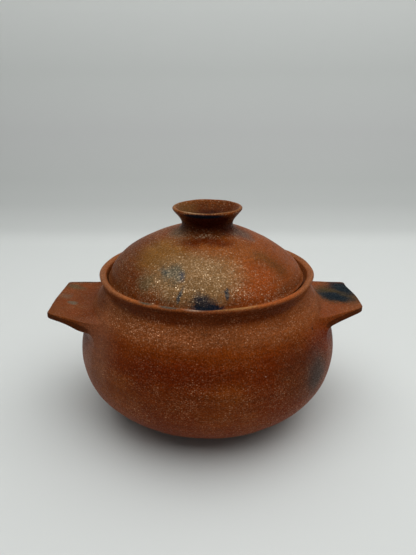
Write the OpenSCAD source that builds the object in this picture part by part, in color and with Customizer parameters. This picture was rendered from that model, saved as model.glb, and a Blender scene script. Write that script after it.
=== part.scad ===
// Bean pot of micaceous clay: a coiled and scraped pot with a low round belly, a short neck,
// a turned-out rim and two flat lug handles, and a domed lid with a cupped knob.
// The pot stands on Z = 0 with its axis on Z. The handles point along X, the front is -Y.
// The lid rests by its own weight on a ledge inside the rim.

/* [Pot profile] */
// Height of the pot without its lid
pot_h = 132; // [126:0.5:145]
// Radius of the flat base
base_r = 50.5; // [40:0.5:60]
// Radius of the belly where it is widest
belly_r = 116; // [110:0.5:130]
// Height of the widest place above the table
belly_z = 63.5; // [58:0.5:68]
// Radius at the shoulder, where the wall turns from round to hollow
shoulder_r = 102.5; // [99:0.5:107]
// Depth of the shoulder point below the top of the rim
shoulder_depth = 27; // [24:0.5:31]
// Outer radius of the rim
rim_r = 95; // [93:0.5:98]
// How far the neck is drawn in under the rim
neck_in = 3.2; // [2:0.1:4]
// Depth of the neck's narrowest place below the top of the rim
neck_depth = 9.5; // [8.5:0.25:12]

/* [Pot walls] */
// Thickness of the clay wall
wall = 6; // [4:0.25:8]
// Thickness of the floor
floor_t = 7.5; // [5:0.25:10]
// Width of the rim, from its outer edge to the mouth
rim_w = 6.2; // [5.6:0.1:7]
// Slope of the rim's top down towards the mouth, in degrees
rim_slope = 32; // [20:1:40]
// Rounding of the rim's outer edge
rim_out_round = 2.3; // [1.5:0.1:2.6]
// Rounding of the rim's inner edge
rim_in_round = 1.2; // [0.8:0.1:1.5]

/* [Lid seat] */
// Slope of the mouth inside the rim, in degrees from upright
mouth_slope = 14; // [8:1:20]
// Depth of the ledge below the top of the rim
seat_depth = 7.6; // [6.5:0.1:9]
// Width of the ledge that carries the lid
ledge_w = 6.4; // [5.5:0.1:8]
// Rounding of the ledge's inner edge
ledge_round = 1.2; // [0.5:0.1:2]
// Clearance between the mouth and the edge of the lid, all round
lid_gap = 1.2; // [1.1:0.1:2]
// How far the lid rests to the left of the middle
lid_shift = 0.8; // [0:0.1:1]

/* [Handles] */
// Depth of a handle's upper face below the top of the rim, where it leaves the wall
lug_depth = 32.5; // [30:0.5:38]
// How far a handle stands out from the wall
lug_len = 30.5; // [22:0.5:40]
// Upward tilt of the handles, in degrees
lug_tilt = 12; // [6:0.5:16]
// Thickness at the outer edge
lug_tip_t = 5; // [4:0.25:6.5]
// Thickness where a handle leaves the wall
lug_root_t = 8; // [6.5:0.25:9]
// Rounding of the two outer corners, seen from above
lug_corner = 6.5; // [3:0.5:10]
// Rounding of the edges, as a depth in from the edge
lug_edge = 2.6; // [1.5:0.1:4]
// Radius of the clay smoothed into the corner between handle and wall
lug_weld = 11; // [6:0.5:12]
// Width of the left handle at its outer edge
left_tip_w = 70; // [55:0.5:80]
// Width of the left handle at the wall
left_root_w = 99; // [85:0.5:105]
// How far the left handle sits behind the middle
left_y = -4; // [-8:0.5:8]
// Width of the right handle at its outer edge
right_tip_w = 59; // [50:0.5:75]
// Width of the right handle at the wall
right_root_w = 92; // [80:0.5:105]
// How far the right handle sits behind the middle
right_y = 2.5; // [-8:0.5:8]

/* [Lid] */
// Thickness of the lid's roof under the knob
lid_wall = 6; // [4:0.25:8]
// Height of the lid's outer edge above the ledge
lid_edge_t = 3.6; // [3:0.1:4.5]
// Rounding of the lid's outer edge
lid_edge_round = 1; // [0.5:0.1:1.4]
// Width of the flat ring under the lid's edge
lid_foot_w = 6; // [5:0.1:8]
// Height of the dome, from the ledge to the foot of the knob
dome_h = 42.4; // [36:0.5:50]
// How far the dome rises upright from its edge before it turns inwards
dome_rise = 18; // [12:0.5:24]
// Radius of the knob's foot, where the dome ends
knob_foot_r = 31.5; // [28:0.5:36]

/* [Knob] */
// Radius of the knob's waist
knob_waist_r = 22.2; // [18:0.1:25]
// Height of the waist above the foot of the knob
knob_waist_h = 6.5; // [5:0.5:9]
// Radius of the knob at its lip
knob_lip_r = 30; // [28:0.5:36]
// Height of the knob, from its foot to the top of its lip
knob_h = 20.8; // [18:0.2:28]
// How far the knob's wall leans outwards at the lip, in degrees from upright
knob_flare = 38; // [30:1:45]
// Thickness of the lip
knob_lip_t = 3.2; // [2:0.1:4]
// Depth of the hollow in the top of the knob
cup_depth = 13; // [8:0.5:14]
// Radius of the hollow near its floor
cup_floor_r = 15; // [12:0.5:16]

/* [Hidden] */
clay = "#8a4528";
turn_fn = 96;
bend = 16;
small_bend = 8;
edge_bend = 5;
tiny = 0.01;
// How far the hollow is cut past the top of the rim
cut_over = 1;
// Share of a rounding's radius that is left off, where it would end in a knife edge
blunt_share = 1 / 12;

// Handles of the curves: how far each one runs straight on from its end before it bends
heel_pull = [12, 3];
belly_pull_down = 51.5;
belly_pull_up = 18.5;
shoulder_pull_down = [6.3, -12.5];
shoulder_pull_up = [-3.2, 6];
neck_pull_down = 6.5;
neck_pull_up = 3.2;
rim_pull = [-0.6, -2.4];
throat_pull = 9;
dome_edge_pull = 4;
dome_top_pull = [15, -2.5];
knob_foot_pull = [-6.5, 1.1];
waist_pull_down = 3.5;
waist_pull_up = 4.2;
flare_pull = 6;
cup_pull = 9;

// Curve with four control points, as steps + 1 points
function bezier(a, b, c, d, steps) = [
    for (i = [0 : steps])
        let (t = i / steps, s = 1 - t)
        s * s * s * a + 3 * s * s * t * b + 3 * s * t * t * c + t * t * t * d
];

// Arc round a centre, from one angle to another
function arc(centre, r, from, to, steps) = [
    for (i = [0 : steps])
        let (a = from + (to - from) * i / steps)
        centre + r * [cos(a), sin(a)]
];

// All points of a list but the first
function rest(list) = [for (i = [1 : len(list) - 1]) list[i]];

// The last point of a list
function end(list) = list[len(list) - 1];

// A list from its last point to its first
function backwards(list) = [for (i = [len(list) - 1 : -1 : 0]) list[i]];

// Unit normal to the left of a curve at point i
function normal(list, i) =
    let (
        before = list[max(i - 1, 0)],
        after = list[min(i + 1, len(list) - 1)],
        along = after - before
    )
    [-along.y, along.x] / norm(along);

// Outside of the pot, from the edge of the base up to the rim
shoulder = [shoulder_r, pot_h - shoulder_depth];
neck = [rim_r - neck_in, pot_h - neck_depth];
rim_side = [rim_r, pot_h - rim_out_round];
belly = concat(
    bezier([base_r, 0], [base_r, 0] + heel_pull, [belly_r, belly_z - belly_pull_down], [belly_r, belly_z], bend),
    rest(bezier([belly_r, belly_z], [belly_r, belly_z + belly_pull_up], shoulder + shoulder_pull_down, shoulder, bend))
);
neck_low = bezier(shoulder, shoulder + shoulder_pull_up, neck - [0, neck_pull_down], neck, small_bend);
neck_high = bezier(neck, neck + [0, neck_pull_up], rim_side + rim_pull, rim_side, small_bend);
rim_out = arc(
    [rim_r - rim_out_round, pot_h - rim_out_round],
    rim_out_round,
    0,
    90 + rim_slope,
    2 * edge_bend
);
outside = concat(belly, rest(neck_low), rest(neck_high), rest(rim_out));

// The mouth: the rim's sloping top and round inner edge, the steep slope below them and the
// ledge that carries the lid
mouth_r = rim_r - rim_w;
seat_z = pot_h - seat_depth;
rim_in_x = mouth_r + rim_in_round;
rim_in_z = end(rim_out).y - rim_in_round / cos(rim_slope) - (end(rim_out).x - rim_in_x) * tan(rim_slope);
rim_in = arc([rim_in_x, rim_in_z], rim_in_round, 90 + rim_slope, 180 - mouth_slope, edge_bend);
function mouth_at(z) = end(rim_in).x - (end(rim_in).y - z) * tan(mouth_slope);
seat_r = mouth_at(seat_z);
throat_r = seat_r - ledge_w;
ledge_edge = arc([throat_r + ledge_round, seat_z - ledge_round], ledge_round, 90, 180, edge_bend);

// Inside of the belly: the outside set in by the wall, which thickens towards the floor
inner_belly = [
    for (i = [0 : len(belly) - 1])
        let (
            t = floor_t + (wall - floor_t) * min(1, i / bend),
            inward = i == 0 ? [0, 1] : normal(belly, i)
        )
        belly[i] + t * inward
];
throat = bezier(
    end(ledge_edge),
    end(ledge_edge) - [0, throat_pull],
    end(inner_belly) + shoulder_pull_up,
    end(inner_belly),
    small_bend
);
hollow = concat(
    [[0, pot_h + cut_over], [end(rim_out).x, pot_h + cut_over], end(rim_out)],
    rim_in,
    [[seat_r, seat_z]],
    ledge_edge,
    rest(throat),
    rest(backwards(inner_belly)),
    [[0, floor_t]]
);

// Radius of the pot's outer wall at height z
function wall_at(z) = lookup(z, [for (p = concat(belly, rest(neck_low))) if (p.y > belly_z - tiny) [p.y, p.x]]);

// Extra clay at distance d from the wall, in the hollow corner of the weld
function weld(d) =
    let (reach = lug_weld - max(d, lug_weld * blunt_share))
    d >= lug_weld ? 0 : lug_weld - sqrt(lug_weld * lug_weld - reach * reach);

// Share of the full thickness left at distance d in from a rounded edge
function edge_share(d) = d >= lug_edge ? 1 : sqrt(1 - pow(1 - max(0, d) / lug_edge, 2));

// The pot's outer form, solid
module pot_form() {
    rotate_extrude($fn = turn_fn)
        polygon(concat([[0, 0]], outside, [[0, pot_h]]));
}

// The hollow of the pot, open at the mouth
module pot_hollow() {
    rotate_extrude($fn = turn_fn)
        polygon(hollow);
}

// One flat lug handle as a loft of thin sections, from inside the wall out to its edge.
// A section is a flat band with round edges. The first ones are bent like the wall and swell
// into the weld, and the last one is straight.
module lug(tip_w, root_w, side_y) {
    slope = tan(lug_tilt);
    root_top = pot_h - lug_depth;
    root_r = wall_at(root_top);
    tip_x = root_r + lug_len;
    function root_x(y) = sqrt(root_r * root_r - y * y);
    side_len = tip_x - root_x(root_w / 2);

    inside_share = 0.35;
    weld_share = (lug_weld + 1) / lug_len;
    corner_share = 1 - lug_corner / side_len;
    weld_steps = 8;
    plain_steps = 3;
    corner_steps = 6;
    side_steps = [0, 0.1, 0.4, 1];
    flat_steps = 10;

    // Place of each section, as a share of the way from the wall to the outer edge
    stations = concat(
        [-inside_share, -weld_share / weld_steps],
        [for (i = [0 : weld_steps]) weld_share * i / weld_steps],
        [for (i = [1 : plain_steps]) weld_share + (corner_share - weld_share) * i / plain_steps],
        [for (i = [1 : corner_steps]) corner_share + (1 - corner_share) * sin(90 * i / corner_steps)]
    );

    // Half the width of the section at share u, with its rounded corner and the weld at its side
    function half_w(u) =
        let (
            plain = (root_w + (tip_w - root_w) * u) / 2,
            x = tip_x - side_len * (1 - u),
            past = min(lug_corner - tiny, max(0, side_len * (u - corner_share))),
            cut = lug_corner - sqrt(lug_corner * lug_corner - past * past)
        )
        plain - cut + weld(norm([x, plain]) - root_r);

    // Distances across a section of width w from one side edge to the other, close at the edges
    function across(w) = concat(
        lug_edge * side_steps,
        [for (k = [1 : flat_steps - 1]) lug_edge + (w - 2 * lug_edge) * k / flat_steps],
        [for (s = backwards(side_steps)) w - lug_edge * s]
    );
    root_row = across(2 * half_w(0));

    // A point of the upper face (up = 1) or the lower face (up = -1), in column k at share u
    function skin(u, k, up) =
        let (
            w = 2 * half_w(u),
            s = across(w)[k],
            y = s - w / 2,
            wall_x = root_x(root_row[k] - half_w(0)),
            x = wall_x + (tip_x - wall_x) * u,
            half_t = (lug_tip_t + (lug_root_t - lug_tip_t) * (1 - u)) / 2,
            z_mid = root_top + lug_len * slope * u - half_t,
            swell = weld(norm([x, y]) - wall_at(z_mid + up * (half_t + lug_weld / 2))),
            edge = edge_share(min(s, w - s)) * edge_share(tip_x - x + lug_edge * blunt_share)
        )
        [x, y + side_y, z_mid + up * (half_t + swell) * edge];

    columns = len(root_row);
    ring_len = 2 * columns - 2;
    points = [
        for (u = stations)
            each concat(
                [for (k = [0 : columns - 1]) skin(u, k, 1)],
                [for (k = [columns - 2 : -1 : 1]) skin(u, k, -1)]
            )
    ];
    rings = len(stations);
    sides = [
        for (i = [0 : rings - 2], k = [0 : ring_len - 1])
            let (
                next = (k + 1) % ring_len,
                a = i * ring_len + k,
                b = i * ring_len + next,
                c = (i + 1) * ring_len + next,
                d = (i + 1) * ring_len + k
            )
            each [[a, b, c], [a, c, d]]
    ];
    // The end caps are strips of triangles from the upper face to the lower one
    function below(k) = (ring_len - k) % ring_len;
    root_cap = [
        for (k = [0 : columns - 2])
            each concat(
                k == 0 ? [] : [[k + 1, k, below(k)]],
                k == columns - 2 ? [] : [[k + 1, below(k), below(k + 1)]]
            )
    ];
    last = (rings - 1) * ring_len;
    tip_cap = [for (f = root_cap) [f[2] + last, f[1] + last, f[0] + last]];
    polyhedron(points, concat(sides, root_cap, tip_cap), convexity = 4);
}

// Body of the pot with its two handles, fired as one piece
module pot() {
    color(clay)
    difference() {
        union() {
            pot_form();
            lug(right_tip_w, right_root_w, right_y);
            mirror([1, 0, 0]) lug(left_tip_w, left_root_w, left_y);
        }
        pot_hollow();
    }
}

// Edge of the lid: it follows the slope of the mouth at the same clearance all round
lid_low_r = seat_r - lid_gap;
lid_edge_z = seat_z + lid_edge_t;
lid_edge_r = mouth_at(lid_edge_z) - lid_gap;
dome_lean = atan(dome_edge_pull / dome_rise);
lid_low_edge = arc([lid_low_r - lid_edge_round, seat_z + lid_edge_round], lid_edge_round, -90, -mouth_slope, edge_bend);
lid_high_edge = arc([lid_edge_r - lid_edge_round, lid_edge_z], lid_edge_round, -mouth_slope, dome_lean, edge_bend);

// Outside of the dome, from the edge up to the foot of the knob
knob_foot = [knob_foot_r, seat_z + dome_h];
dome = bezier(
    end(lid_high_edge),
    end(lid_high_edge) + [-dome_edge_pull, dome_rise],
    knob_foot + dome_top_pull,
    knob_foot,
    bend
);

// The knob: a drawn-in waist that opens into a lip, and a round hollow in its top
waist = [knob_waist_r, knob_foot.y + knob_waist_h];
lip_mid = [knob_lip_r - knob_lip_t / 2, knob_foot.y + knob_h - knob_lip_t / 2];
flare_up = [sin(knob_flare), cos(knob_flare)];
lip = arc(lip_mid, knob_lip_t / 2, -knob_flare, 180 - knob_flare, 2 * edge_bend);
knob_low = bezier(knob_foot, knob_foot + knob_foot_pull, waist - [0, waist_pull_down], waist, small_bend);
knob_high = bezier(waist, waist + [0, waist_pull_up], lip[0] - flare_pull * flare_up, lip[0], small_bend);
cup_floor_z = knob_foot.y + knob_h - cup_depth;
cup = bezier(end(lip), end(lip) - cup_pull * flare_up, [cup_floor_r, cup_floor_z], [0, cup_floor_z], bend);

// Inside of the lid: a round hollow from the foot of its wall to the roof under the knob
lid_inner_r = lid_low_r - lid_foot_w;
roof_z = knob_foot.y - lid_wall;
foot_inner_edge = arc([lid_inner_r + lid_edge_round, seat_z + lid_edge_round], lid_edge_round, 180, 270, edge_bend);
lid_hollow = bezier(
    [0, roof_z],
    [knob_foot_r + dome_top_pull.x, roof_z],
    foot_inner_edge[0] + [0, dome_rise],
    foot_inner_edge[0],
    2 * bend
);

// Domed lid with its knob, fired as one piece, resting on the ledge
module lid() {
    color(clay)
    translate([-lid_shift, 0, 0])
    rotate_extrude($fn = turn_fn)
        polygon(concat(
            lid_low_edge,
            lid_high_edge,
            rest(dome),
            rest(knob_low),
            rest(knob_high),
            rest(lip),
            rest(cup),
            lid_hollow,
            rest(foot_inner_edge)
        ));
}

pot();
lid();
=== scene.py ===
"""Bean pot of micaceous clay with flat lug handles and a domed lid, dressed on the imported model."""

import math

import bmesh
import bpy
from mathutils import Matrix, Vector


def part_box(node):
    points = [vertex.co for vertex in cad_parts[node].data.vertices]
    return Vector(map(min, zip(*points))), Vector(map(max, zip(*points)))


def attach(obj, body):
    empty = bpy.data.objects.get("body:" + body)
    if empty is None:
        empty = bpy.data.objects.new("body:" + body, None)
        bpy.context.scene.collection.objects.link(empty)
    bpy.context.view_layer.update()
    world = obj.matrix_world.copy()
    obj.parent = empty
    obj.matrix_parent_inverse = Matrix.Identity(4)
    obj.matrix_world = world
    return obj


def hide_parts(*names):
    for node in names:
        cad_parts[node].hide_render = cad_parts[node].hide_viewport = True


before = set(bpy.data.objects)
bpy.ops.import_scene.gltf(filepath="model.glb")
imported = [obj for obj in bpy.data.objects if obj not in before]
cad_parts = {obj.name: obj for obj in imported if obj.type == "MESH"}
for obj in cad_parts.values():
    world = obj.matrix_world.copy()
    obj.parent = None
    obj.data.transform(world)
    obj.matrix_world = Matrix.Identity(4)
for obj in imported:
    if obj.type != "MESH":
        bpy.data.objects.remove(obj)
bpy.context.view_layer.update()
bpy.ops.object.select_all(action="DESELECT")

# Camera
# It looks down on the front of the pot from arm's length, as the photograph was taken.
# The focal length is in pixels of the photograph's frame, which is 416 wide and 555 high.
photo_height = 555
focal_length = 491.3
sensor_w = 36
camera_place = (-0.0001, -0.419, 0.282)
camera_down = math.radians(20.91)

bpy.ops.object.camera_add(location=camera_place, rotation=(math.pi / 2 - camera_down, 0, 0))
camera = bpy.context.object
camera.data.sensor_width = sensor_w
camera.data.lens = sensor_w * focal_length / photo_height
bpy.context.scene.camera = camera

# Pot
# The body is built from coils of micaceous clay, scraped thin, and its two flat handles are
# welded on while the clay is wet. It has a ledge inside the rim, on which the lid rests.

# Sizes are in millimetres. The height, the belly and the handles' reach come from the packed
# model.
MM = 0.001
MERGE = 0.01 * MM
pot_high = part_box("pot")[1]
pot_h = pot_high.z / MM
base_r = 50.5
base_edge = 1.5
belly = (pot_high.y / MM, 63.5)
shoulder = (102.5, pot_h - 27)
neck = (91.8, pot_h - 9.5)
rim_r = 95
rim_w = 6.2
rim_slope = math.radians(32)
rim_out_round = 2.3
rim_in_round = 1.2
mouth_slope = math.radians(14)
seat_z = pot_h - 7.6
ledge_w = 6.4
ledge_round = 1.2
wall = 6
floor_z = 7.5

# How far in and down the inside lies from the outside at the shoulder, and how far out from the
# base's edge and up from the floor the inside starts to rise
shoulder_wall = (5.3, 2.8)
heel = (2, 0.8)

# How far out and up from the seat's corner the edges lie that keep it crisp
seat_hold = (0.15, 0.6)

# Share of a corner's radius at which the handles of a Bezier curve draw it as a round
ROUND = 0.552


def curve(start, start_pull, end_pull, end, steps):
    """A stretch of outline between two points, with each pull given as a step from its point."""
    first = (start[0] + start_pull[0], start[1] + start_pull[1])
    last = (end[0] + end_pull[0], end[1] + end_pull[1])
    return start, first, last, end, steps


def line(start, end, steps):
    """A straight stretch of outline."""
    run = ((end[0] - start[0]) / 3, (end[1] - start[1]) / 3)
    return curve(start, run, (-run[0], -run[1]), end, steps)


def corner(start, tip, end, steps):
    """A stretch of outline that rounds off the corner at tip."""
    pulls = [((tip[0] - p[0]) * ROUND, (tip[1] - p[1]) * ROUND) for p in (start, end)]
    return curve(start, pulls[0], pulls[1], end, steps)


def on_round(centre, radius, angle):
    """A point on a round edge, at an angle from straight out."""
    return (centre[0] + radius * math.cos(angle), centre[1] + radius * math.sin(angle))


def round_edge(centre, radius, start, end, steps):
    """A round edge as short straight stretches."""
    points = [on_round(centre, radius, start + (end - start) * i / steps) for i in range(steps + 1)]
    return [line(a, b, 1) for a, b in zip(points, points[1:])]


def draw_outline(name, stretches):
    """Draws an outline as Bezier curves in the XZ plane and makes it a line of edges."""
    bpy.ops.object.select_all(action="DESELECT")
    bpy.ops.curve.primitive_bezier_curve_add(location=(0, 0, 0))
    outline = bpy.context.object
    outline.name = name
    outline.data.splines.clear()
    for start, first, last, end, steps in stretches:
        spline = outline.data.splines.new("BEZIER")
        spline.bezier_points.add(1)
        spline.resolution_u = steps
        ends = zip(spline.bezier_points, (start, last), (start, end), (first, end))
        for point, before, centre, after in ends:
            point.handle_left_type = point.handle_right_type = "FREE"
            point.handle_left = (before[0] * MM, 0, before[1] * MM)
            point.co = (centre[0] * MM, 0, centre[1] * MM)
            point.handle_right = (after[0] * MM, 0, after[1] * MM)
    bpy.ops.object.convert(target="MESH")
    return bpy.context.object


def spin_outline(piece, start_angle, arcs):
    """Spins an outline once round Z, clockwise and arc by arc, and closes its seam and poles."""
    piece.rotation_euler.z = start_angle
    bpy.ops.object.transform_apply(location=False, rotation=True, scale=False)
    bpy.ops.object.mode_set(mode="EDIT")
    bpy.ops.mesh.select_all(action="SELECT")
    bpy.ops.mesh.remove_doubles(threshold=MERGE)
    for angle, steps in arcs:
        bpy.ops.mesh.spin(angle=angle, steps=steps, center=(0, 0, 0), axis=(0, 0, 1))
    bpy.ops.mesh.select_all(action="SELECT")
    bpy.ops.mesh.remove_doubles(threshold=MERGE)
    bpy.ops.mesh.normals_make_consistent(inside=False)
    bpy.ops.object.mode_set(mode="OBJECT")


# The rim's top slopes down to the mouth between two rounds
rim_side = (rim_r, pot_h - rim_out_round)
rim_out = (rim_r - rim_out_round, pot_h - rim_out_round)
rim_top_angle = math.pi / 2 + rim_slope
rim_top = on_round(rim_out, rim_out_round, rim_top_angle)
rim_in_x = rim_r - rim_w + rim_in_round
rim_in_drop = rim_in_round / math.cos(rim_slope) + (rim_top[0] - rim_in_x) * math.tan(rim_slope)
rim_in = (rim_in_x, rim_top[1] - rim_in_drop)
mouth_edge = on_round(rim_in, rim_in_round, math.pi - mouth_slope)
seat_r = mouth_edge[0] - (mouth_edge[1] - seat_z) * math.tan(mouth_slope)
seat_corner = (seat_r, seat_z)
seat_wall = (seat_r + seat_hold[0], seat_z + seat_hold[1])
seat_floor = (seat_r - seat_hold[1], seat_z)
throat_r = seat_r - ledge_w
throat = (throat_r, seat_z - ledge_round)
ledge_end = (throat_r + ledge_round, seat_z)
inner_shoulder = (shoulder[0] - shoulder_wall[0], shoulder[1] - shoulder_wall[1])
inner_belly = (belly[0] - wall, belly[1])
inner_heel = (base_r + heel[0], floor_z + heel[1])

# From the middle of the base round the outside, over the rim and down the inside
pot_outline = [
    line((0, 0), (base_r - base_edge, 0), 4),
    line((base_r - base_edge, 0), (base_r, 0), 1),
    curve((base_r, 0), (12, 3), (0, -51.5), belly, 15),
    curve(belly, (0, 18.5), (6.3, -12.5), shoulder, 6),
    curve(shoulder, (-3.2, 6), (0, -6.5), neck, 4),
    curve(neck, (0, 3.2), (-0.6, -2.4), rim_side, 3),
    *round_edge(rim_out, rim_out_round, 0, rim_top_angle, 5),
    line(rim_top, on_round(rim_in, rim_in_round, rim_top_angle), 1),
    *round_edge(rim_in, rim_in_round, rim_top_angle, math.pi - mouth_slope, 2),
    line(mouth_edge, seat_wall, 2),
    line(seat_wall, seat_corner, 1),
    line(seat_corner, seat_floor, 1),
    line(seat_floor, ledge_end, 2),
    corner(ledge_end, (throat_r, seat_z), throat, 2),
    curve(throat, (0, -9), (-3.2, 6), inner_shoulder, 4),
    curve(inner_shoulder, (6.3, -12.5), (0, 18.5), inner_belly, 5),
    curve(inner_belly, (0, -41), (20, 6), inner_heel, 12),
    line(inner_heel, (0, floor_z), 5),
]

# Each handle: its side, its width at the wall, how far behind the middle it sits, its width at
# the outer edge and how far out it reaches. It leaves the wall from a band of the pot's faces.
cad_reach = pot_high.x / MM
handles = [(1, 93, 2, 60, cad_reach - 0.2), (-1, 102, -5.5, 73, cad_reach + 1.1)]
handle_flare = 5
handle_edge_w = 2.2
handle_columns = 7
handle_band = (pot_h - 46, pot_h - 26.5)
root_r = 107.4
root_top = pot_h - 32.5
root_t = 6.4
tip_t = 4.6
handle_tilt = math.tan(math.radians(12))
handle_crease = 0.33

# Digits of a metre to which the corners of one ring of a handle have the same height
RING_DIGITS = 5

# Rows of a handle on its way out: share of the way, thickness, and what is added to its width
handle_rows = [
    (0.07, 11.5, 4.5),
    (0.18, 8, 1.6),
    (0.36, 6.2, 0.4),
    (0.6, 5.4, 0),
    (0.86, 4.9, 0),
    (0.955, 4.7, -1),
    (0.99, 4.2, -3.5),
    (1, 2.8, -6.5),
]


def side_angles(side, root_w, behind):
    """Angles of a handle's front and back side on the wall, and of the columns next to them."""
    half = root_w / 2 + handle_flare
    front = behind - half
    back = behind + half
    places = (front, front + handle_edge_w, back - handle_edge_w, back)
    angles = [math.asin(y / root_r) for y in places]
    return angles if side > 0 else [math.pi - a for a in angles]


def square_up(behind, width):
    """Gives the rings of a handle's end one width, so that the handle's sides stand upright."""
    shell = bmesh.from_edit_mesh(pot.data)
    end = [v for v in shell.verts if v.select]
    for level in {round(v.co.z, RING_DIGITS) for v in end}:
        ring = [v for v in end if round(v.co.z, RING_DIGITS) == level]
        low = min(v.co.y for v in ring)
        high = max(v.co.y for v in ring)
        for vert in ring:
            vert.co.y = (behind + ((vert.co.y - low) / (high - low) - 0.5) * width) * MM
    bmesh.update_edit_mesh(pot.data)


def crease_corners(width, thick):
    """Keeps the four long edges of a handle crisp, between its last row and the one before."""
    shell = bmesh.from_edit_mesh(pot.data)
    layers = shell.edges.layers.float
    crease = layers.get("crease_edge") or layers.new("crease_edge")
    end = [v for v in shell.verts if v.select]
    for front in (-1, 1):
        for up in (-1, 1):
            tip = max(end, key=lambda v: front * v.co.y / width + up * v.co.z / thick)
            for edge in tip.link_edges:
                if not edge.other_vert(tip).select:
                    edge[crease] = handle_crease
    bmesh.update_edit_mesh(pot.data)


def pull_handle(side, root_w, behind, tip_w, reach):
    """Pulls a handle out of the wall, row by row, and draws each row towards its outer edge."""
    bpy.ops.object.mode_set(mode="EDIT")
    bpy.ops.mesh.select_mode(type="FACE")
    bpy.ops.mesh.select_all(action="DESELECT")
    shell = bmesh.from_edit_mesh(pot.data)
    front, _, _, back = side_angles(side, root_w, behind)
    turn = (min(front, back), max(front, back))
    for face in shell.faces:
        centre = face.calc_center_median()
        angle = math.atan2(centre.y, centre.x)
        if side < 0:
            angle = angle % (2 * math.pi)
        in_band = handle_band[0] < centre.z / MM < handle_band[1]
        outside = centre.x * face.normal.x > 0
        face.select = in_band and outside and turn[0] < angle < turn[1]
    bmesh.update_edit_mesh(pot.data)
    chosen = [v.co / MM for v in shell.verts if v.select]
    height = (min(v.z for v in chosen), max(v.z for v in chosen))
    last_share = 0
    last_thick = height[1] - height[0]
    last_mid = sum(height) / 2
    last_w = root_w + 2 * handle_flare
    for share, thick, added_w in handle_rows:
        flat = root_t + (tip_t - root_t) * share
        mid = root_top - flat / 2 + (reach - root_r) * handle_tilt * share
        width = root_w + (tip_w - root_w) * share + added_w
        bpy.ops.mesh.extrude_region()
        bpy.ops.transform.resize(
            value=((1 - share) / (1 - last_share), width / last_w, thick / last_thick),
            center_override=(side * reach * MM, behind * MM, last_mid * MM),
        )
        bpy.ops.transform.translate(value=(0, 0, (mid - last_mid) * MM))
        last_share, last_thick, last_mid, last_w = share, thick, mid, width
        if share == handle_rows[0][0]:
            square_up(behind, width)
        elif share > handle_rows[1][0]:
            crease_corners(width, thick)
    bpy.ops.object.mode_set(mode="OBJECT")


def lean(piece, place, move, size):
    """Moves the clay near a place by hand, with what lies around it following less and less."""
    bpy.ops.object.select_all(action="DESELECT")
    piece.select_set(True)
    bpy.context.view_layer.objects.active = piece
    bpy.ops.object.mode_set(mode="EDIT")
    bpy.ops.mesh.select_mode(type="VERT")
    bpy.ops.mesh.select_all(action="DESELECT")
    shell = bmesh.from_edit_mesh(piece.data)
    for vert in shell.verts:
        vert.select = place(vert.co.x / MM, vert.co.y / MM, vert.co.z / MM)
    shell.select_flush_mode()
    bmesh.update_edit_mesh(piece.data)
    bpy.ops.transform.translate(
        value=[m * MM for m in move],
        use_proportional_edit=True,
        proportional_edit_falloff="SMOOTH",
        proportional_size=size * MM,
    )
    bpy.ops.object.mode_set(mode="OBJECT")


def smooth_and_wave(piece):
    """Smooths a piece, and lets its skin wander as scraped clay does, but not under its foot."""
    bpy.ops.object.select_all(action="DESELECT")
    piece.select_set(True)
    bpy.context.view_layer.objects.active = piece
    bpy.ops.object.modifier_add(type="SUBSURF")
    smooth = piece.modifiers[-1]
    smooth.levels = smooth.render_levels = smooth_levels
    bpy.ops.object.modifier_apply(modifier=smooth.name)
    freedom = piece.vertex_groups.new(name="freedom")
    for vert in piece.data.vertices:
        freedom.add([vert.index], min(1, vert.co.z / (wave_free_h * MM)), "REPLACE")
    bpy.ops.object.modifier_add(type="DISPLACE")
    wander = piece.modifiers[-1]
    wander.texture = waves
    wander.texture_coords = "LOCAL"
    wander.direction = "RGB_TO_XYZ"
    wander.vertex_group = freedom.name
    wander.mid_level = 0.5
    wander.strength = wave_h * MM
    bpy.ops.object.modifier_apply(modifier=wander.name)
    piece.vertex_groups.clear()
    bpy.ops.object.shade_smooth()


# Waves of hand-scraped clay: their length, their depth, and how high up they are in full
smooth_levels = 2
wave_l = 38
wave_h = 1.3
wave_free_h = 20
waves = bpy.data.textures.new("hand_waves", "CLOUDS")
waves.cloud_type = "COLOR"
waves.noise_scale = wave_l * MM

# Micaceous clay: a brown body clay full of mica, scraped, burnished with a stone and fired in
# an open pit. To the eye it is a dull orange brown that wanders to red and olive, with soft
# blue-black clouds where the wood touched it, and a fine glitter that shows most where light
# from above is thrown to the front. The real flecks are 0.2 to 0.6 mm wide. They are drawn
# about twice as coarse, because finer ones don't show.

# Sizes in mm: a bend in a drifting edge and how far the edge drifts, a fire patch, a grain, a
# stroke of the scraper, a patch with more or less mica, and the depth of grain and strokes
DRIFT_BEND = 14
DRIFT_WAY = 14
PATCH = 48
GRAIN = 1.1
STROKE = (34, 34, 2.6)
MICA_PATCH = 18
DEPTH = 0.12

# The span of a noise that counts, and what the grains and strokes multiply the colour by, and
# the patches the mica, from its start to its end
NOISE_SPAN = (0.3, 0.7)
GRAIN_SHADE = (0.62, 1.32)
STROKE_SHADE = (0.85, 1.15)
MICA_AMOUNT = (0.4, 1.4)

# How far mica's cells are squeezed along each axis, the flat share of a platelet, how far it
# tilts, and the roughness of clay and mica
CELL_SQUEEZE = (0.8, 0.8, 1.1)
PLATELET_FLAT = 0.4
TILT = 0.45
CLAY_ROUGH = 0.42
MICA_ROUGH = 0.3

# Middle of a noise that has a value for each axis
MIDDLE = (0.5, 0.5, 0.5)


def colour(hex_value):
    """The linear colour of an sRGB hex value."""
    parts = [int(hex_value[i:i + 2], 16) / 255 for i in (1, 3, 5)]
    return [c / 12.92 if c <= 0.04045 else ((c + 0.055) / 1.055) ** 2.4 for c in parts] + [1]


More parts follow.
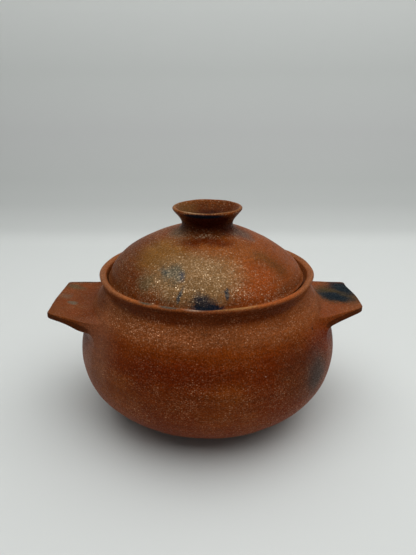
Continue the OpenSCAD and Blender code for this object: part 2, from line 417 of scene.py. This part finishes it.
def add_node(owner, kind, inputs, **settings):
    """Adds a node. Each input takes a value, or links to the socket that is given for it."""
    tree = owner.node_tree
    node = tree.nodes.new(kind)
    for name, value in settings.items():
        setattr(node, name, value)
    for key, value in inputs.items():
        if isinstance(value, bpy.types.NodeSocket):
            tree.links.new(value, node.inputs[key])
        else:
            node.inputs[key].default_value = value
    return node


def fired_clay(name, earth, clouds, glitter, mica_tone):
    """Makes the clay of one piece.

    earth is the colours that its fire patches wander through. A cloud is a centre and half
    sizes in mm, turns about Y and Z in degrees, softness, raggedness, strength, colour, and
    what the mica's sparkle is multiplied by. One with no raggedness doesn't drift. Some
    clouds are painted shade, painted highlights and painted reflection on the clay.
    Glitter is layers of mica: size of a cell in mm, width of its platelet as a share of that,
    rarity of the bright ones, and strength.
    """
    clay = bpy.data.materials.new(name)
    clay.use_nodes = True
    skin = clay.node_tree.nodes["Principled BSDF"]
    place = add_node(clay, "ShaderNodeTexCoord", {}).outputs["Object"]

    # The flames wander, so a patch or cloud has a drifting edge
    wander = add_node(clay, "ShaderNodeTexNoise", {
        "Vector": place, "Scale": 1 / (DRIFT_BEND * MM), "Detail": 4, "Roughness": 0.6,
    }).outputs["Color"]
    wander = add_node(clay, "ShaderNodeVectorMath", {
        0: wander, 1: MIDDLE,
    }, operation="SUBTRACT").outputs[0]
    drifting = add_node(clay, "ShaderNodeVectorMath", {
        0: wander, 1: [DRIFT_WAY * MM] * 3, 2: place,
    }, operation="MULTIPLY_ADD").outputs[0]
    grain = add_node(clay, "ShaderNodeTexNoise", {
        "Vector": place, "Scale": 1 / (GRAIN * MM), "Detail": 2,
    }).outputs["Fac"]

    patches = add_node(clay, "ShaderNodeTexNoise", {
        "Vector": drifting, "Scale": 1 / (PATCH * MM), "Detail": 3, "Roughness": 0.55,
    }).outputs["Fac"]
    ramp = add_node(clay, "ShaderNodeValToRGB", {"Fac": patches})
    stops = ramp.color_ramp.elements
    for i, (at, tone) in enumerate(earth):
        stop = stops[i] if i < 2 else stops.new(at)
        stop.position = at
        stop.color = colour(tone)
    base = ramp.outputs["Color"]

    # A cloud is a soft ellipsoid in the clay, with an edge that the grain makes ragged. Sockets
    # 6 and 7 of a Mix are its two colours, and its output 2 is the mixed one.
    sparkle = 1
    for centre, half, turn, softness, ragged, strength, tone, gain in clouds:
        inside = add_node(clay, "ShaderNodeMapping", {
            "Vector": drifting if ragged else place,
            "Location": [c * MM for c in centre],
            "Rotation": (0, math.radians(turn[0]), math.radians(turn[1])),
            "Scale": [h * MM for h in half],
        }, vector_type="TEXTURE").outputs[0]
        away = add_node(clay, "ShaderNodeVectorMath", {
            0: inside,
        }, operation="LENGTH").outputs["Value"]
        away = add_node(clay, "ShaderNodeMath", {
            0: grain, 1: ragged, 2: away,
        }, operation="MULTIPLY_ADD").outputs[0]
        share = add_node(clay, "ShaderNodeMapRange", {
            "Value": away,
            "From Min": 1 + ragged / 2 + softness,
            "From Max": 1 + ragged / 2 - softness,
        }, interpolation_type="SMOOTHSTEP").outputs[0]
        if gain != 1:
            change = add_node(clay, "ShaderNodeMapRange", {
                "Value": share, "To Min": 1, "To Max": gain,
            }).outputs[0]
            sparkle = add_node(clay, "ShaderNodeMath", {
                0: change, 1: sparkle,
            }, operation="MULTIPLY").outputs[0]
        share = add_node(clay, "ShaderNodeMath", {
            0: share, 1: strength,
        }, operation="MULTIPLY").outputs[0]
        base = add_node(clay, "ShaderNodeMix", {
            0: share, 6: base, 7: colour(tone),
        }, data_type="RGBA").outputs[2]

    # Darker and lighter grains of the clay itself, and faint strokes of the scraper
    strokes = add_node(clay, "ShaderNodeMapping", {
        "Vector": place, "Scale": [1 / (s * MM) for s in STROKE],
    }).outputs[0]
    strokes = add_node(clay, "ShaderNodeTexNoise", {
        "Vector": strokes, "Scale": 1, "Detail": 3,
    }).outputs["Fac"]
    for noise, change in ((grain, GRAIN_SHADE), (strokes, STROKE_SHADE)):
        shade = add_node(clay, "ShaderNodeMapRange", {
            "Value": noise,
            "From Min": NOISE_SPAN[0], "From Max": NOISE_SPAN[1],
            "To Min": change[0], "To Max": change[1],
        }).outputs[0]
        base = add_node(clay, "ShaderNodeVectorMath", {
            0: base, "Scale": shade,
        }, operation="SCALE").outputs[0]

    # Mica: each cell holds a platelet that reflects like metal, tilted its own way. Burnishing
    # draws them out sideways. Most are dull, and a few are bright.
    normal = add_node(clay, "ShaderNodeNewGeometry", {}).outputs["Normal"]
    mica = 0
    for size, width, rarity, strength in glitter:
        cells = add_node(clay, "ShaderNodeMapping", {
            "Vector": place, "Scale": [s / (size * MM) for s in CELL_SQUEEZE],
        }).outputs[0]
        cells = add_node(clay, "ShaderNodeTexVoronoi", {"Vector": cells, "Scale": 1})
        draw = add_node(clay, "ShaderNodeSeparateColor", {0: cells.outputs["Color"]})
        bright = add_node(clay, "ShaderNodeMath", {
            0: draw.outputs[0], 1: rarity,
        }, operation="POWER").outputs[0]
        disc = add_node(clay, "ShaderNodeMapRange", {
            "Value": cells.outputs["Distance"],
            "From Min": width,
            "From Max": width * PLATELET_FLAT,
        }).outputs[0]
        fleck = add_node(clay, "ShaderNodeMath", {
            0: disc, 1: bright,
        }, operation="MULTIPLY").outputs[0]
        fleck = add_node(clay, "ShaderNodeMath", {
            0: fleck, 1: strength,
        }, operation="MULTIPLY").outputs[0]
        tilt = add_node(clay, "ShaderNodeVectorMath", {
            0: cells.outputs["Color"], 1: MIDDLE,
        }, operation="SUBTRACT").outputs[0]
        tilt = add_node(clay, "ShaderNodeVectorMath", {
            0: tilt, "Scale": disc,
        }, operation="SCALE").outputs[0]
        normal = add_node(clay, "ShaderNodeVectorMath", {
            0: tilt, 1: [TILT] * 3, 2: normal,
        }, operation="MULTIPLY_ADD").outputs[0]
        mica = add_node(clay, "ShaderNodeMath", {
            0: fleck, 1: mica,
        }, operation="MAXIMUM").outputs[0]
    normal = add_node(clay, "ShaderNodeVectorMath", {
        0: normal,
    }, operation="NORMALIZE").outputs[0]

    # Patches of clay hold more or less mica, and each cloud hides or shows it
    amount = add_node(clay, "ShaderNodeTexNoise", {
        "Vector": place, "Scale": 1 / (MICA_PATCH * MM), "Detail": 3,
    }).outputs["Fac"]
    amount = add_node(clay, "ShaderNodeMapRange", {
        "Value": amount,
        "From Min": NOISE_SPAN[0], "From Max": NOISE_SPAN[1],
        "To Min": MICA_AMOUNT[0], "To Max": MICA_AMOUNT[1],
    }).outputs[0]
    amount = add_node(clay, "ShaderNodeMath", {
        0: amount, 1: sparkle,
    }, operation="MULTIPLY").outputs[0]
    mica = add_node(clay, "ShaderNodeMath", {
        0: mica, 1: amount,
    }, operation="MULTIPLY", use_clamp=True).outputs[0]
    base = add_node(clay, "ShaderNodeMix", {
        0: mica, 6: base, 7: colour(mica_tone),
    }, data_type="RGBA").outputs[2]

    # The grain stands out twice as far as the strokes. Burnished clay has a faint warm gloss,
    # and its dust a faint warm sheen.
    height = add_node(clay, "ShaderNodeMath", {
        0: strokes, 1: 0.5, 2: grain,
    }, operation="MULTIPLY_ADD").outputs[0]
    bumps = add_node(clay, "ShaderNodeBump", {
        "Height": height, "Distance": DEPTH * MM, "Strength": 0.6, "Normal": normal,
    }).outputs[0]
    rough = add_node(clay, "ShaderNodeMapRange", {
        "Value": mica, "To Min": CLAY_ROUGH, "To Max": MICA_ROUGH,
    }).outputs[0]
    skin.inputs["Specular IOR Level"].default_value = 0.04
    skin.inputs["Specular Tint"].default_value = colour("#ffc496")
    skin.inputs["Sheen Weight"].default_value = 0.05
    skin.inputs["Sheen Roughness"].default_value = 0.3
    skin.inputs["Sheen Tint"].default_value = colour("#ffae78")
    links = {"Base Color": base, "Roughness": rough, "Metallic": mica, "Normal": bumps}
    for key, value in links.items():
        clay.node_tree.links.new(value, skin.inputs[key])
    return clay


pot = draw_outline("clay_pot", pot_outline)
right = side_angles(*handles[0][:3])
left = side_angles(*handles[1][:3])
front_steps = 22
back_steps = 21
spin_outline(pot, right[3], [
    (right[3] - right[2], 1),
    (right[2] - right[1], handle_columns),
    (right[1] - right[0], 1),
    (right[0] - left[0] + 2 * math.pi, front_steps),
    (left[0] - left[1], 1),
    (left[1] - left[2], handle_columns),
    (left[2] - left[3], 1),
    (left[3] - right[3], back_steps),
])
for handle in handles:
    pull_handle(*handle)

# The neck and the rim lean a little to the left. The rim dips at the front, and is a little
# wider across than from front to back.
rim_low = neck[1] + 4
lean(pot, lambda x, y, z: z > neck[1], (-1.06, 0, 0), 56)
lean(pot, lambda x, y, z: abs(x + 5) < 3 and y < 0 and z > rim_low, (0, 0, -0.8), 14)
lean(pot, lambda x, y, z: x < -85 and abs(y) < 35 and z > rim_low, (-0.8, 0, 0), 30)
lean(pot, lambda x, y, z: x < -75 and 0 < y < 55 and z > rim_low, (-0.9, 0, 0), 26)
lean(pot, lambda x, y, z: x > 75 and -12 < y < 60 and z > rim_low, (1, 0, 0), 30)

# The belly bulges to the left. The weld of the right handle is drawn up from below, and the
# left handle is welded on lower at its front.
lean(pot, lambda x, y, z: x < -96 and -70 < y < 20 and 26 < z < 60, (-2, 0, 0), 44)
lean(pot, lambda x, y, z: x > 98 and abs(y) < 48 and 84 < z < 91, (0, 0, 2), 10)
lean(pot, lambda x, y, z: -116 < x < -104 and y < -36 and 86 < z < 96, (0, 0, -3.4), 12)

# The outer edges of both handles bow outwards, and the right one is drawn in at its back
lean(pot, lambda x, y, z: x > 133 and abs(y + 6) < 8, (0.6, 0, 0), 24)
lean(pot, lambda x, y, z: x > 124 and y > 22 and z > 93, (-2.2, 0, 0), 30)
lean(pot, lambda x, y, z: x < -134 and abs(y + 5.5) < 10, (-1, 0, 0), 28)
smooth_and_wave(pot)

pot_clouds_and_painted_light = [
    # The shoulder and the handles are lighter than the belly, and round the shoulder, most at the
    # front left, is a painted highlight with more glitter
    ((0, 0, 122), (240, 240, 25), (0, 0), 0.4, 0.2, 0.75, "#7a3f17", 0.8),
    ((0, 0, 111), (200, 200, 8), (0, 0), 0.8, 0.3, 0.7, "#7d421f", 1.8),
    ((-42, -84, 110), (48, 30, 9), (0, 0), 0.7, 0.3, 0.2, "#7a4220", 1.4),
    ((-125, 0, 104), (32, 90, 14), (0, 0), 0.4, 0.2, 0.75, "#5c3114", 0.5),
    ((125, 0, 104), (32, 90, 14), (0, 0), 0.4, 0.2, 0.6, "#744325", 0.5),
    # Painted shade darkens the mouth, down in the gap under the lid, and smoke darkens the inside
    ((-1.8, 0, 127), (88.8, 88.8, 60), (0, 0), 0.012, 0, 0.6, "#3c1506", 0.2),
    # The rim is redder at the front right, and under it the neck has painted shade
    ((0, 0, 132.2), (200, 200, 1.9), (0, 0), 0.4, 0, 0.9, "#7e4b2a", 0.6),
    ((58, -75, 132.2), (52, 24, 2), (0, 0), 0.5, 0, 0.8, "#974b1d", 0.7),
    ((-45, -82, 131.4), (44, 18, 1.8), (0, 0), 0.5, 0, 0.8, "#a0592a", 0.7),
    ((22, -92, 132.4), (24, 8, 1.1), (0, 0), 0.5, 0, 0.7, "#a87c48", 0.7),
    ((-8, -72, 124.5), (92, 56, 7.5), (0, 0), 0.25, 0, 0.75, "#451302", 0.6),
    ((7, -92, 121), (8, 8, 2.6), (0, 0), 0.6, 0.3, 0.35, "#2b0300", 0.3),
    ((3, -100, 112), (17, 14, 8), (0, 0), 0.7, 0.3, 0.4, "#5e3117", 0.8),
    # Painted shade on the left of the shoulder, and under the rim at the left
    ((-62, -80, 97), (32, 26, 8), (0, 0), 0.7, 0.3, 0.35, "#5c2200", 0.6),
    ((-92, -32, 116), (8, 24, 9), (0, 0), 0.6, 0.2, 0.6, "#45200f", 0.4),
    ((-72, -66, 117), (20, 22, 5.5), (0, 0), 0.7, 0.3, 0.45, "#52290f", 0.8),
    # Painted highlights on the sides of the neck
    ((-97, -2, 112), (3, 7, 4), (0, 0), 0.8, 0.2, 0.35, "#87746a", 1),
    ((95, -6, 113), (3, 9, 4), (0, 0), 0.8, 0.2, 0.35, "#87746a", 1),
    # More painted shade under the rim at the right, and a lighter patch at the front
    ((54, -80, 119), (24, 16, 6), (0, 0), 0.7, 0.3, 0.35, "#431803", 0.4),
    ((0, -92, 119), (14, 8, 5), (0, 0), 0.7, 0.3, 0.3, "#653217", 0.6),
    # An orange band goes round the belly, and the foot is redder. The dark red band and the lighter
    # one between are partly the clay's tone and partly painted reflection of the dark room and of the
    # bright table.
    ((0, 0, 98.5), (200, 200, 5), (0, 0), 0.8, 0.3, 0.7, "#6c2b02", 0.5),
    ((0, 0, 86), (200, 200, 9), (0, 0), 0.8, 0.3, 0.75, "#541500", 0.35),
    ((0, 0, 65), (200, 200, 9), (0, 0), 0.8, 0.3, 0.5, "#662d10", 0.8),
    ((0, 0, 34), (200, 200, 20), (0, 0), 0.6, 0.2, 0.5, "#733116", 1),
    ((-92, -62, 78), (22, 24, 30), (0, 0), 0.6, 0.3, 0.6, "#7c4f38", 0.9),
    ((70, -90, 78), (19, 19, 20), (0, 0), 0.7, 0.3, 0.6, "#47220f", 0.6),
    # Painted shade on the front sides of the handles
    ((121, -34.3, 98.8), (44, 2.6, 3), (-12, 22), 0.2, 0, 0.75, "#3a1a0a", 0.3),
    ((-121, -46, 99.3), (44, 2.6, 3), (12, -17), 0.2, 0, 0.75, "#3a1a0a", 0.3),
    # Blue-black fire cloud over the right handle, with olive edges and a lighter streak
    ((120, 5, 104), (15, 25, 14), (0, 33), 0.45, 0.3, 0.92, "#2e2a15", 0.4),
    ((117.5, 0, 104), (7.5, 18, 14), (0, 41), 0.5, 0.3, 1, "#02121b", 0.1),
    ((128.5, 18, 104), (8.5, 21, 14), (0, 24), 0.5, 0.3, 1, "#04141c", 0.1),
    ((123, 12, 104), (2, 7, 14), (0, 41), 0.9, 0.3, 0.25, "#4a3616", 0.5),
    # Grey cloud on the right flank
    ((88, -73, 66), (18, 15, 18), (0, 0), 0.7, 0.4, 0.9, "#332d2a", 0.5),
    # Small blemishes on the right
    ((85.6, -59.9, 101), (2, 1.6, 1.3), (0, 0), 0.5, 0.3, 0.8, "#2a0f05", 0),
    ((86.8, -49.9, 110.2), (2, 1.4, 1.2), (0, 0), 0.5, 0.3, 0.8, "#2a0f05", 0),
    ((50, -100, 84.4), (1.1, 1.1, 1.1), (0, 0), 0.5, 0.3, 0.9, "#c0a996", 1),
    ((44, -103, 84.4), (0.9, 0.9, 0.9), (0, 0), 0.5, 0.3, 0.9, "#c0a996", 1),
    # Grey-green touches on the left handle
    ((-122, -15, 103), (3.4, 4, 4), (0, 0), 0.5, 0.6, 0.7, "#55574a", 1),
    ((-130, -3, 105), (6, 4, 4), (0, 0), 0.7, 0.6, 0.3, "#55574a", 1),
    ((-126, 21, 105), (11, 4, 6), (0, 0), 0.7, 0.6, 0.7, "#45402a", 1),
    ((-121, 36, 105), (17, 2.6, 5), (0, 20), 0.6, 0.4, 0.75, "#37362c", 0.6),
    # Smoke along the crest of the rim, and a painted highlight on the pinch at its front
    ((-47, -80, 132.4), (7, 7, 1.1), (0, 0), 0.5, 0, 0.85, "#2e3c34", 1),
    ((-29, -88, 132.3), (9, 5, 1), (0, 0), 0.5, 0, 0.8, "#354540", 1),
    ((-8, -93, 132), (8, 4, 0.9), (0, 0), 0.6, 0, 0.6, "#9a8f80", 1),
]
pot.data.materials.clear()
pot.data.materials.append(fired_clay(
    "micaceous_clay_pot",
    [(0.3, "#5a1c02"), (0.7, "#76380b"), (0.5, "#682804")],
    pot_clouds_and_painted_light,
    [(0.85, 0.8, 3, 0.24), (1.3, 0.42, 5, 0.6), (3.2, 0.2, 8, 0.8)],
    "#d8a37c",
))

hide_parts("pot")
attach(pot, "root")

# Lid
# The dome and its cupped knob are one piece of the same clay. It rests by its own weight on
# the ledge inside the rim, a little to the left of the middle.
lid_gap = 1.2
lid_shift = 1.86
lid_wall = 6
foot_round = 1
edge_h = 3.6
dome_h = 42.4
dome_top_r = 31.5
waist_r = 22.2
waist_h = 6.5
lip_r = 30.4
lip_t = 3.2
cup_depth = 13
flare = math.radians(38)

edge_z = seat_z + edge_h
foot_r = seat_r - lid_gap
foot_side = (foot_r + 0.1, seat_z + foot_round)
foot_low = (foot_r - foot_round, seat_z)
foot_inner = (foot_r - lid_wall, seat_z + foot_round)
foot_flat = (foot_inner[0] + foot_round, seat_z)
edge_r = seat_r + edge_h * math.tan(mouth_slope) - lid_gap
edge_side = (edge_r, edge_z)
edge_tip = (edge_r + 0.1, edge_z + 0.9)
edge_top = (edge_r - 1.2, edge_z + 1.1)
dome_top = (dome_top_r, seat_z + dome_h)
roof = (0, dome_top[1] - lid_wall)
waist = (waist_r, dome_top[1] + waist_h)
knob_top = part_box("lid")[1].z / MM
cup_floor = (0, knob_top - cup_depth)
flare_pull = (-6 * math.sin(flare), -6 * math.cos(flare))
cup_pull = (-9 * math.sin(flare), -9 * math.cos(flare))
lip = (lip_r - lip_t / 2, knob_top - lip_t / 2)
lip_start = on_round(lip, lip_t / 2, -flare)
lip_end = on_round(lip, lip_t / 2, math.pi - flare)

# From the middle of the hollow under the dome, round the foot and edge, and up into the knob
lid_outline = [
    curve(roof, (46.5, 0), (0, 18), foot_inner, 14),
    corner(foot_inner, (foot_inner[0], seat_z), foot_flat, 2),
    line(foot_flat, foot_low, 2),
    corner(foot_low, (foot_r, seat_z), foot_side, 2),
    line(foot_side, edge_side, 2),
    corner(edge_side, edge_tip, edge_top, 2),
    curve(edge_top, (-3.7, 17), (15, -2.5), dome_top, 14),
    curve(dome_top, (-6.5, 1.1), (0, -3.5), waist, 5),
    curve(waist, (0, 4.2), flare_pull, lip_start, 5),
    *round_edge(lip, lip_t / 2, -flare, math.pi - flare, 6),
    curve(lip_end, cup_pull, (15, 0), cup_floor, 9),
]

lid = draw_outline("clay_lid", lid_outline)
spin_outline(lid, 0, [(2 * math.pi, 72)])

# It rests to the left in the leaning rim, with the knob nearly in the middle. The dome bulges
# to the left and is flatter at the right, and the knob's lip is drawn up.
knob_shift = 0.5
lean(lid, lambda x, y, z: True, (-lid_shift, 0, 0), 1)
lean(lid, lambda x, y, z: z > dome_top[1], (lid_shift - knob_shift, 0, 0), 12)
lean(lid, lambda x, y, z: abs(z - 146) < 4, (-1, 0, 0), 14)
lean(lid, lambda x, y, z: z > 182, (0, 0, 0.7), 12)
lean(lid, lambda x, y, z: x > 38 and abs(y - 8) < 22 and 150 < z < 163, (0, 0, -1.1), 22)
smooth_and_wave(lid)

lid_clouds_and_painted_light = [
    # Brown to the left, golden at the top, olive in front and orange to the right
    ((-66, -20, 145), (32, 52, 32), (0, 0), 0.6, 0.2, 0.8, "#4d2207", 0.4),
    ((-36, -42, 158), (25, 22, 13), (0, 0), 0.6, 0.3, 0.75, "#734e1c", 0.6),
    ((18, -44, 161), (26, 20, 10), (0, 0), 0.6, 0.3, 0.7, "#804317", 0.5),
    ((58, -20, 150), (32, 48, 24), (0, 0), 0.6, 0.2, 0.8, "#74380f", 0.2),
    ((34, -66, 140), (22, 22, 16), (0, 0), 0.6, 0.3, 0.65, "#883b0e", 1.1),
    ((-12, -68, 147), (36, 25, 20), (0, 0), 0.45, 0.3, 0.9, "#7b5d3a", 1.05),
    ((-6, -80, 140), (22, 16, 9), (0, 0), 0.6, 0.5, 0.4, "#71522f", 1.2),
    ((44, -40, 153), (10, 6, 6), (20, 0), 0.7, 0.4, 0.5, "#4e3513", 0.5),
    ((58, -42, 146), (7, 9, 8), (-15, 0), 0.7, 0.4, 0.4, "#453115", 0.5),
    ((-48, -63, 141), (9, 10, 6), (0, 0), 0.6, 0.5, 0.5, "#4b4a33", 1),
    # Shade and smoke round the foot of the knob, with a few bright flecks in front
    ((0, -34, 165.5), (24, 9, 4.4), (0, 0), 0.6, 0.2, 0.85, "#4d1800", 0.3),
    ((-25, -12, 168), (9, 10, 5), (0, 0), 0.6, 0.4, 0.6, "#554d38", 1),
    ((28, -11, 167), (11, 10, 5), (0, 0), 0.6, 0.4, 0.6, "#4a4540", 1),
    ((-2, -27, 168.2), (9, 6, 1.6), (0, 0), 0.6, 0.3, 0.2, "#7a4a2a", 4.5),
    # Round fire cloud with darker edges, three-cornered cloud at the rim and two soot streaks
    ((-28, -65, 149.6), (9.5, 12, 5.8), (0, 0), 0.45, 0.7, 0.75, "#484b40", 0.9),
    ((-21, -68, 147.8), (2.4, 6, 3), (0, 0), 0.7, 0.6, 0.7, "#2c3644", 0.8),
    ((-34, -61, 150.5), (3.6, 7, 3.6), (0, 0), 0.7, 0.6, 0.5, "#39413f", 0.8),
    ((0, -88, 129), (12.5, 9, 5), (0, 0), 0.3, 0.5, 0.98, "#08182a", 0.25),
    ((-2.5, -84, 134.5), (8, 9, 5.4), (0, 0), 0.55, 0.8, 0.9, "#141f2a", 0.5),
    ((-20.7, -79, 137), (1.5, 9, 5), (32, 0), 0.5, 0.5, 0.85, "#22323a", 0.7),
    ((14.9, -78.5, 139), (1.6, 9, 3.4), (-14, 0), 0.5, 0.5, 0.95, "#12212c", 0.7),
    # Painted shade on the edge of the lid, down in the gap
    ((0, 0, 124), (200, 200, 3.8), (0, 0), 0.15, 0, 0.9, "#250803", 0.1),
    # The knob is darker, partly fire-darkened and partly painted shade in its cup and under its lip:
    # nearly black outside, olive on the left inside, with a lighter lip
    ((0, 0, 180), (42, 42, 9), (0, 0), 0.5, 0.3, 0.85, "#431d06", 0.15),
    ((0, 0, 172.5), (29, 29, 7), (0, 0), 0.45, 0.2, 0.95, "#260200", 0.1),
    ((0, -28, 180), (30, 12, 6.4), (0, 0), 0.3, 0, 0.9, "#270300", 0.1),
    ((-24, 8, 185), (13, 17, 7), (0, 0), 0.8, 0.3, 0.5, "#66491f", 0.5),
    ((0, 0, 189.2), (200, 200, 1.3), (0, 0), 0.4, 0, 0.85, "#7b5029", 0.5),
    ((-7, -30, 185.7), (22, 9, 1.7), (0, 0), 0.3, 0, 0.97, "#08121d", 0.1),
    ((-14, -28, 189), (16, 8, 1.1), (0, 0), 0.5, 0, 0.6, "#ac9472", 0.5),
]
lid.data.materials.clear()
lid.data.materials.append(fired_clay(
    "micaceous_clay_lid",
    [(0.3, "#642c0b"), (0.7, "#7f4412"), (0.5, "#733409")],
    lid_clouds_and_painted_light,
    [(0.85, 0.8, 3, 0.26), (1.3, 0.44, 4.5, 0.75), (3, 0.24, 6, 0.95)],
    "#e8cda8",
))

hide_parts("lid")
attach(lid, "root")

# Sweep and light
# A pale grey sheet of matt paper lies on the table and curves up behind the pot, under one
# wide soft lamp. Sizes are in metres here.

# Painted shade on the sheet, by its height: darker in its bend, where it turns from the lamp
sweep_painted_shade = [
    (0, "#ced1cf"),
    (0.009, "#bfc2c0"),
    (0.045, "#b3b6b4"),
    (0.09, "#b2b5b3"),
    (0.19, "#bcbebd"),
    (0.3, "#ced1cf"),
    (0.46, "#d8dbd9"),
]
sweep_half_w = 3
sweep_front = -1.2
sweep_bend = 0.5
sweep_r = 0.32
sweep_top = 1.4
bpy.ops.mesh.primitive_plane_add(size=2, location=(0, 0, 0))
sweep = bpy.context.object
sweep.name = "sweep"
bpy.ops.object.mode_set(mode="EDIT")
bpy.ops.transform.resize(value=(sweep_half_w, (sweep_bend - sweep_front) / 2, 1))
bpy.ops.transform.translate(value=(0, (sweep_bend + sweep_front) / 2, 0))
bpy.ops.mesh.select_mode(type="EDGE")
bpy.ops.mesh.select_all(action="DESELECT")
sheet = bmesh.from_edit_mesh(sweep.data)
for edge in sheet.edges:
    edge.select = all(v.co.y > sweep_bend - MERGE for v in edge.verts)
bmesh.update_edit_mesh(sweep.data)
bpy.ops.mesh.spin(angle=-math.pi / 2, steps=24, center=(0, sweep_bend, sweep_r), axis=(1, 0, 0))
bpy.ops.mesh.extrude_region_move(TRANSFORM_OT_translate={"value": (0, 0, sweep_top)})
bpy.ops.object.mode_set(mode="OBJECT")
bpy.ops.object.shade_smooth()

paper = bpy.data.materials.new("matt_grey_paper_painted_shade")
paper.use_nodes = True
paper_skin = paper.node_tree.nodes["Principled BSDF"]
paper_place = add_node(paper, "ShaderNodeTexCoord", {}).outputs["Object"]
paper_z = add_node(paper, "ShaderNodeSeparateXYZ", {0: paper_place}).outputs["Z"]
paper_ramp = add_node(paper, "ShaderNodeValToRGB", {"Fac": paper_z})
for i, (height, tone) in enumerate(sweep_painted_shade):
    paper_stops = paper_ramp.color_ramp.elements
    paper_stop = paper_stops[i] if i < 2 else paper_stops.new(height)
    paper_stop.position = height
    paper_stop.color = colour(tone)
paper.node_tree.links.new(paper_ramp.outputs["Color"], paper_skin.inputs["Base Color"])
paper_skin.inputs["Roughness"].default_value = 0.9
paper_skin.inputs["Specular IOR Level"].default_value = 0.1
sweep.data.materials.append(paper)

# The lamp is aimed at the floor in front of the pot
lamp_place = (0.16, -0.08, 1.4)
lamp_aim = (0, -0.16)
lamp_size = 2.4
lamp_power = 37
lamp_turn = (
    math.atan2(lamp_aim[1] - lamp_place[1], lamp_place[2]),
    math.atan2(lamp_place[0] - lamp_aim[0], lamp_place[2]),
    0,
)
bpy.ops.object.light_add(type="AREA", location=lamp_place, rotation=lamp_turn)
lamp = bpy.context.object
lamp.name = "softbox"
lamp.data.size = lamp_size
lamp.data.energy = lamp_power

# The room gives a little light of its own, and shows as the same pale grey as the sweep
room_light = 0.15
room_seen = 0.6
world = bpy.data.worlds.new("room")
bpy.context.scene.world = world
world.use_nodes = True
room = world.node_tree.nodes["Background"]
room.inputs["Color"].default_value = (1, 1, 1, 1)
ray = add_node(world, "ShaderNodeLightPath", {}).outputs
seen = ray["Is Camera Ray"]
for kind in ("Is Glossy Ray", "Is Transmission Ray"):
    seen = add_node(world, "ShaderNodeMath", {
        0: seen, 1: ray[kind],
    }, operation="ADD").outputs[0]
shown = add_node(world, "ShaderNodeMapRange", {
    "Value": seen, "To Min": room_light, "To Max": room_seen,
}).outputs[0]
world.node_tree.links.new(shown, room.inputs["Strength"])

scene = bpy.context.scene
scene.view_settings.view_transform = "Standard"
